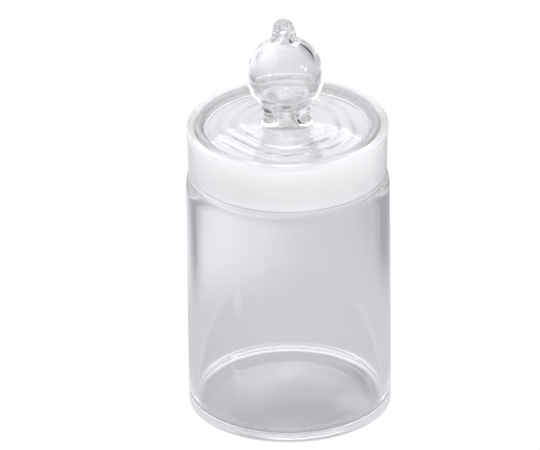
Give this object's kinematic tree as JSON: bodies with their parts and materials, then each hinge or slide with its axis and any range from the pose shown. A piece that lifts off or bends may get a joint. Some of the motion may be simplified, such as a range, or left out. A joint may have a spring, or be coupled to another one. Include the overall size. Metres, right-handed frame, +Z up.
{
  "type": "specimen jar",
  "caption": "Clear glass specimen jar: straight cylindrical body, ground-glass neck, and a lift-off hollow stopper with a flat disc and a bulb-shaped knob.",
  "frame": {"origin": "centre of the jar's base, on the surface that it stands on", "axes": "+Z up along the common axis of the jar and the stopper; X and Y are level and interchangeable"},
  "size_m": [0.06, 0.06, 0.1252],
  "materials": {
    "jar_glass": "clear polished borosilicate glass, fine-ground and frosted inside the neck",
    "stopper_glass": "clear fire-polished borosilicate glass, fine-ground and frosted on the skirt"
  },
  "bodies": {
    "jar": {"jar_body": "jar_glass"},
    "stopper": {"stopper": "stopper_glass"}
  },
  "joints": [
    {"name": "stopper_lift", "type": "slide", "parent": "jar", "child": "stopper", "axis": [0, 0, 1], "range_m": [0, 0.05]}
  ]
}
